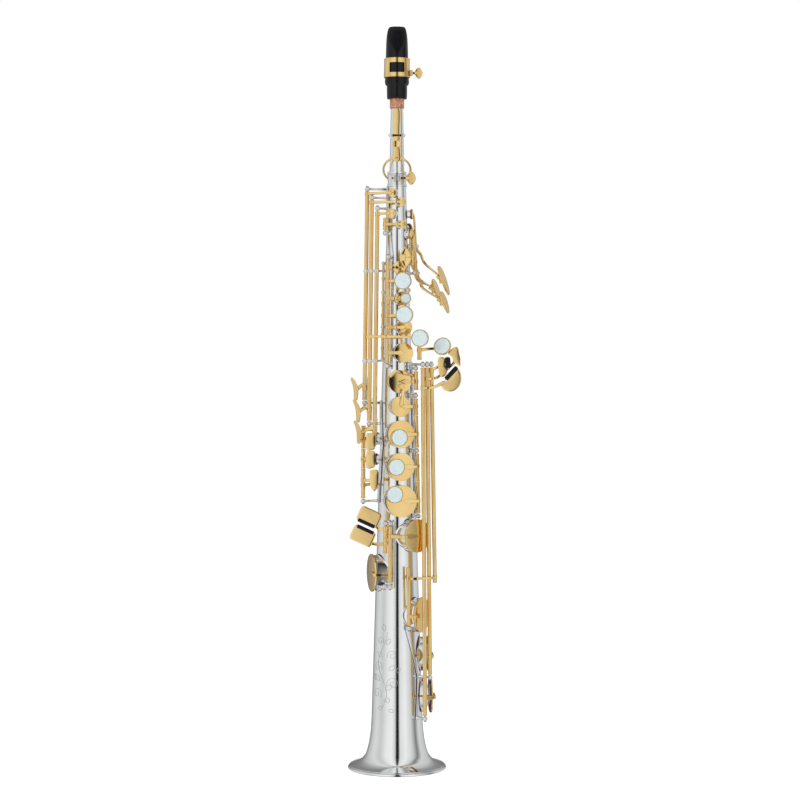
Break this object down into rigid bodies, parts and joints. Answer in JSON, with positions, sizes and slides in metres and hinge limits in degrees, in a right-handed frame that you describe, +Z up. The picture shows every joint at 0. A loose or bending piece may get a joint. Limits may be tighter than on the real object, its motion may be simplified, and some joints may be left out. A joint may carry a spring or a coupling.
{
  "type": "soprano saxophone",
  "caption": "Straight soprano saxophone: a conical metal body with a flared bell, hinged padded keys, a detachable straight neck, and a mouthpiece with reed and ligature.",
  "frame": {"origin": "centre of the bell's rim, on the plane the bell stands on", "axes": "+Z up the bore towards the mouthpiece; -Y the front, with the finger stacks; +X the side of the left little finger's table"},
  "size_m": [0.105, 0.0916, 0.69],
  "materials": {
    "silver_plate": "polished silver plate over brass",
    "gold_lacquer": "polished clear-lacquered brass",
    "black_ebonite": "polished hard rubber",
    "cork": "matt sheet cork",
    "mother_of_pearl": "polished shell",
    "cane": "matt reed cane"
  },
  "bodies": {
    "horn": {"body_tube": "silver_plate", "bell": "silver_plate", "neck_receiver": "silver_plate", "left_hand_posts": "silver_plate", "side_key_lower_posts": "silver_plate", "right_side_posts": "silver_plate", "bell_key_lower_posts": "silver_plate", "pinky_key_posts": "silver_plate", "palm_key_posts": "silver_plate", "octave_posts": "silver_plate", "thumb_rest": "gold_lacquer", "thumb_hook": "gold_lacquer", "strap_ring": "silver_plate"},
    "neck": {"neck_tube": "silver_plate", "neck_cork": "cork"},
    "mouthpiece_group": {"mouthpiece": "black_ebonite", "reed": "cane", "ligature": "gold_lacquer"},
    "ligature_screw_turn": {"ligature_screw": "gold_lacquer"},
    "neck_screw_turn": {"neck_screw": "gold_lacquer"},
    "b_key_group": {"b_key": "gold_lacquer", "b_pearl": "mother_of_pearl"},
    "bis_key_group": {"bis_key": "gold_lacquer", "bis_pearl": "mother_of_pearl"},
    "a_key_group": {"a_key": "gold_lacquer", "a_pearl": "mother_of_pearl"},
    "g_key_group": {"g_key": "gold_lacquer", "g_pearl": "mother_of_pearl"},
    "g_sharp_key_group": {"g_sharp_key": "gold_lacquer"},
    "g_sharp_lever_group": {"g_sharp_lever": "gold_lacquer", "g_sharp_pearl": "mother_of_pearl"},
    "f_sharp_key_group": {"f_sharp_key": "gold_lacquer"},
    "f_key_group": {"f_key": "gold_lacquer", "f_pearl": "mother_of_pearl"},
    "e_key_group": {"e_key": "gold_lacquer", "e_pearl": "mother_of_pearl"},
    "d_key_group": {"d_key": "gold_lacquer", "d_pearl": "mother_of_pearl"},
    "front_f_key_group": {"front_f_key": "gold_lacquer"},
    "low_b_flat_key_group": {"low_b_flat_key": "gold_lacquer"},
    "low_b_key_group": {"low_b_key": "gold_lacquer"},
    "low_c_sharp_lever_group": {"low_c_sharp_lever": "gold_lacquer"},
    "low_c_sharp_key_group": {"low_c_sharp_key": "gold_lacquer"},
    "low_e_flat_lever_group": {"low_e_flat_lever": "gold_lacquer"},
    "low_c_lever_group": {"low_c_lever": "gold_lacquer"},
    "low_c_key_group": {"low_c_key": "gold_lacquer"},
    "low_e_flat_key_group": {"low_e_flat_key": "gold_lacquer"},
    "side_high_e_key_group": {"side_high_e_key": "gold_lacquer"},
    "side_c_key_group": {"side_c_key": "gold_lacquer"},
    "side_b_flat_key_group": {"side_b_flat_key": "gold_lacquer"},
    "high_f_sharp_key_group": {"high_f_sharp_key": "gold_lacquer"},
    "chromatic_f_sharp_key_group": {"chromatic_f_sharp_key": "gold_lacquer"},
    "high_g_key_group": {"high_g_key": "gold_lacquer"},
    "body_octave_key_group": {"body_octave_key": "gold_lacquer"},
    "palm_f_key_group": {"palm_f_key": "gold_lacquer"},
    "palm_d_key_group": {"palm_d_key": "gold_lacquer"},
    "palm_e_flat_key_group": {"palm_e_flat_key": "gold_lacquer"},
    "octave_thumb_lever_group": {"octave_thumb_lever": "gold_lacquer"},
    "octave_rod_group": {"octave_rod": "gold_lacquer"},
    "neck_octave_key_group": {"neck_octave_key": "gold_lacquer"}
  },
  "joints": [
    {"name": "neck_pull", "type": "slide", "parent": "horn", "child": "neck", "axis": [0, 0, 1], "range_m": [0, 0.03]},
    {"name": "mouthpiece_tuning", "type": "slide", "parent": "neck", "child": "mouthpiece_group", "axis": [0, 0, 1], "range_m": [0, 0.012]},
    {"name": "ligature_screw_turn_hinge", "type": "hinge", "parent": "mouthpiece_group", "child": "ligature_screw_turn", "pos_m": [0.0166, -0.003, 0.646], "axis": [1, 0, 0], "range_deg": [-180, 180]},
    {"name": "neck_screw_turn_hinge", "type": "hinge", "parent": "horn", "child": "neck_screw_turn", "pos_m": [0.002, -0.0116, 0.5485], "axis": [1, 0, 0], "range_deg": [-180, 180]},
    {"name": "b_key_hinge", "type": "hinge", "parent": "horn", "child": "b_key_group", "pos_m": [-0.00804, -0.01608, 0.466], "axis": [0.0126, 0.0252, 0.9996], "range_deg": [0, 10], "stiffness_Nm_per_rad": 0.02, "springref_deg": -20.05},
    {"name": "bis_key_hinge", "type": "hinge", "parent": "horn", "child": "bis_key_group", "pos_m": [-0.0084, -0.0168, 0.4375], "axis": [0.0126, 0.0252, 0.9996], "range_deg": [0, 10], "stiffness_Nm_per_rad": 0.02, "springref_deg": -20.05},
    {"name": "a_key_hinge", "type": "hinge", "parent": "horn", "child": "a_key_group", "pos_m": [-0.00873, -0.01747, 0.411], "axis": [0.0126, 0.0252, 0.9996], "range_deg": [0, 10], "stiffness_Nm_per_rad": 0.02, "springref_deg": -20.05},
    {"name": "g_key_hinge", "type": "hinge", "parent": "horn", "child": "g_key_group", "pos_m": [-0.00903, -0.01806, 0.3875], "axis": [0.0126, 0.0252, 0.9996], "range_deg": [0, 10], "stiffness_Nm_per_rad": 0.02, "springref_deg": -20.05},
    {"name": "g_sharp_key_hinge", "type": "hinge", "parent": "horn", "child": "g_sharp_key_group", "pos_m": [0.01762, -0.01442, 0.361], "axis": [-0.0228, 0.0228, 0.9995], "range_deg": [0, 10], "stiffness_Nm_per_rad": 0.02, "springref_deg": -20.05},
    {"name": "g_sharp_lever_hinge", "type": "hinge", "parent": "horn", "child": "g_sharp_lever_group", "pos_m": [0.02069, -0.01549, 0.39], "axis": [-0.0118, 0.0118, 0.9999], "range_deg": [0, 8], "stiffness_Nm_per_rad": 0.02, "springref_deg": -20.05},
    {"name": "f_sharp_key_hinge", "type": "hinge", "parent": "horn", "child": "f_sharp_key_group", "pos_m": [0.01743, -0.01332, 0.338], "axis": [0.0233, -0.0121, -0.9997], "range_deg": [0, 11], "stiffness_Nm_per_rad": 0.02, "springref_deg": -20.05},
    {"name": "f_key_hinge", "type": "hinge", "parent": "horn", "child": "f_key_group", "pos_m": [0.01803, -0.01363, 0.3125], "axis": [0.0233, -0.0121, -0.9997], "range_deg": [0, 12], "stiffness_Nm_per_rad": 0.02, "springref_deg": -20.05},
    {"name": "e_key_hinge", "type": "hinge", "parent": "horn", "child": "e_key_group", "pos_m": [0.01872, -0.01399, 0.2825], "axis": [0.0233, -0.0121, -0.9997], "range_deg": [0, 12], "stiffness_Nm_per_rad": 0.02, "springref_deg": -20.05},
    {"name": "d_key_hinge", "type": "hinge", "parent": "horn", "child": "d_key_group", "pos_m": [0.01946, -0.01437, 0.251], "axis": [0.0233, -0.0121, -0.9997], "range_deg": [0, 12], "stiffness_Nm_per_rad": 0.02, "springref_deg": -20.05},
    {"name": "front_f_key_hinge", "type": "hinge", "parent": "horn", "child": "front_f_key_group", "pos_m": [0.01375, -0.01335, 0.475], "axis": [0.0214, -0.0214, -0.9995], "range_deg": [0, 6], "stiffness_Nm_per_rad": 0.02, "springref_deg": -20.05},
    {"name": "low_b_flat_key_hinge", "type": "hinge", "parent": "horn", "child": "low_b_flat_key_group", "pos_m": [0.02589, -0.02169, 0.068], "axis": [-0.0068, 0.0068, 1], "range_deg": [0, 9], "stiffness_Nm_per_rad": 0.02, "springref_deg": -20.05},
    {"name": "low_b_key_hinge", "type": "hinge", "parent": "horn", "child": "low_b_key_group", "pos_m": [0.03046, -0.01793, 0.106], "axis": [-0.0099, 0.005, 0.9999], "range_deg": [0, 9], "stiffness_Nm_per_rad": 0.02, "springref_deg": -20.05},
    {"name": "low_c_sharp_lever_hinge", "type": "hinge", "parent": "horn", "child": "low_c_sharp_lever_group", "pos_m": [0.0318, -0.0134, 0.374], "axis": [-0.0168, 0.002, 0.9999], "range_deg": [0, 5], "stiffness_Nm_per_rad": 0.02, "springref_deg": -20.05},
    {"name": "low_c_sharp_key_hinge", "type": "hinge", "parent": "horn", "child": "low_c_sharp_key_group", "pos_m": [0.01107, -0.02427, 0.1445], "axis": [0.0148, -0.0148, -0.9998], "range_deg": [0, 8], "stiffness_Nm_per_rad": 0.02, "springref_deg": -20.05},
    {"name": "low_e_flat_lever_hinge", "type": "hinge", "parent": "horn", "child": "low_e_flat_lever_group", "pos_m": [-0.01064, -0.02267, 0.225], "axis": [-0.0148, -0.0222, -0.9996], "range_deg": [0, 9], "stiffness_Nm_per_rad": 0.02, "springref_deg": -20.05},
    {"name": "low_c_lever_hinge", "type": "hinge", "parent": "horn", "child": "low_c_lever_group", "pos_m": [-0.01084, -0.02297, 0.2115], "axis": [-0.0148, -0.0222, -0.9996], "range_deg": [0, 9], "stiffness_Nm_per_rad": 0.02, "springref_deg": -20.05},
    {"name": "low_c_key_hinge", "type": "hinge", "parent": "horn", "child": "low_c_key_group", "pos_m": [-0.00607, -0.02445, 0.2185], "axis": [0.0074, 0.0259, 0.9996], "range_deg": [0, 10], "stiffness_Nm_per_rad": 0.02, "springref_deg": -20.05},
    {"name": "low_e_flat_key_hinge", "type": "hinge", "parent": "horn", "child": "low_e_flat_key_group", "pos_m": [-0.00633, -0.02537, 0.183], "axis": [0.0074, 0.0259, 0.9996], "range_deg": [0, 10], "stiffness_Nm_per_rad": 0.02, "springref_deg": -20.05},
    {"name": "side_high_e_key_hinge", "type": "hinge", "parent": "horn", "child": "side_high_e_key_group", "pos_m": [-0.02748, -0.00603, 0.5345], "axis": [-0.0141, -0.0051, -0.9999], "range_deg": [0, 9], "stiffness_Nm_per_rad": 0.02, "springref_deg": -20.05},
    {"name": "side_c_key_hinge", "type": "hinge", "parent": "horn", "child": "side_c_key_group", "pos_m": [-0.02323, -0.00902, 0.5264], "axis": [-0.0126, -0.0058, -0.9999], "range_deg": [0, 9], "stiffness_Nm_per_rad": 0.02, "springref_deg": -20.05},
    {"name": "side_b_flat_key_hinge", "type": "hinge", "parent": "horn", "child": "side_b_flat_key_group", "pos_m": [-0.01803, -0.01102, 0.5156], "axis": [-0.0131, -0.0075, -0.9999], "range_deg": [0, 9], "stiffness_Nm_per_rad": 0.02, "springref_deg": -20.05},
    {"name": "high_f_sharp_key_hinge", "type": "hinge", "parent": "horn", "child": "high_f_sharp_key_group", "pos_m": [-0.03107, -0.01059, 0.308], "axis": [0.0057, 0.0071, 1], "range_deg": [0, 8], "stiffness_Nm_per_rad": 0.02, "springref_deg": -20.05},
    {"name": "chromatic_f_sharp_key_hinge", "type": "hinge", "parent": "horn", "child": "chromatic_f_sharp_key_group", "pos_m": [-0.03118, -0.01073, 0.288], "axis": [0.0057, 0.0071, 1], "range_deg": [0, 8], "stiffness_Nm_per_rad": 0.02, "springref_deg": -20.05},
    {"name": "high_g_key_hinge", "type": "hinge", "parent": "horn", "child": "high_g_key_group", "pos_m": [-0.03131, -0.01089, 0.265], "axis": [0.0057, 0.0071, 1], "range_deg": [0, 8], "stiffness_Nm_per_rad": 0.02, "springref_deg": -20.05},
    {"name": "body_octave_key_hinge", "type": "hinge", "parent": "horn", "child": "body_octave_key_group", "pos_m": [-0.01071, -0.01171, 0.506], "axis": [-0.0154, -0.0154, -0.9998], "range_deg": [0, 8], "stiffness_Nm_per_rad": 0.02, "springref_deg": -20.05},
    {"name": "palm_f_key_hinge", "type": "hinge", "parent": "horn", "child": "palm_f_key_group", "pos_m": [0.01742, 0.00307, 0.486], "axis": [-0.1736, 0.9848, 0], "range_deg": [0, 6], "stiffness_Nm_per_rad": 0.02, "springref_deg": -20.05},
    {"name": "palm_d_key_hinge", "type": "hinge", "parent": "horn", "child": "palm_d_key_group", "pos_m": [0.01757, -0.00571, 0.461], "axis": [0.309, 0.9511, 0], "range_deg": [0, 6], "stiffness_Nm_per_rad": 0.02, "springref_deg": -20.05},
    {"name": "palm_e_flat_key_hinge", "type": "hinge", "parent": "horn", "child": "palm_e_flat_key_group", "pos_m": [0.01388, 0.01165, 0.472], "axis": [-0.6428, 0.766, 0], "range_deg": [0, 6], "stiffness_Nm_per_rad": 0.02, "springref_deg": -20.05},
    {"name": "octave_thumb_lever_hinge", "type": "hinge", "parent": "horn", "child": "octave_thumb_lever_group", "pos_m": [0, 0.0224, 0.446], "axis": [-1, 0, 0], "range_deg": [0, 7], "stiffness_Nm_per_rad": 0.02, "springref_deg": -20.05},
    {"name": "octave_rod_hinge", "type": "hinge", "parent": "horn", "child": "octave_rod_group", "pos_m": [-0.00555, 0.01511, 0.53], "axis": [0.0115, -0.0271, 0.9996], "range_deg": [0, 10], "stiffness_Nm_per_rad": 0.02, "springref_deg": -20.05},
    {"name": "neck_octave_key_hinge", "type": "hinge", "parent": "neck", "child": "neck_octave_key_group", "pos_m": [0, -0.0093, 0.588], "axis": [1, 0, 0], "range_deg": [0, 3], "stiffness_Nm_per_rad": 0.02, "springref_deg": -20.05}
  ],
  "couplings": [
    {"joint": "g_sharp_lever_hinge", "follows": "g_sharp_key_hinge", "ratio": 0.792},
    {"joint": "low_c_sharp_lever_hinge", "follows": "low_c_sharp_key_hinge", "ratio": 0.618},
    {"joint": "low_e_flat_lever_hinge", "follows": "low_e_flat_key_hinge", "ratio": 0.891},
    {"joint": "low_c_lever_hinge", "follows": "low_c_key_hinge", "ratio": 0.891},
    {"joint": "f_sharp_key_hinge", "follows": "f_key_hinge", "ratio": 0.907},
    {"joint": "octave_rod_hinge", "follows": "octave_thumb_lever_hinge", "ratio": 1.414},
    {"joint": "neck_octave_key_hinge", "follows": "octave_thumb_lever_hinge", "ratio": 0.424}
  ]
}
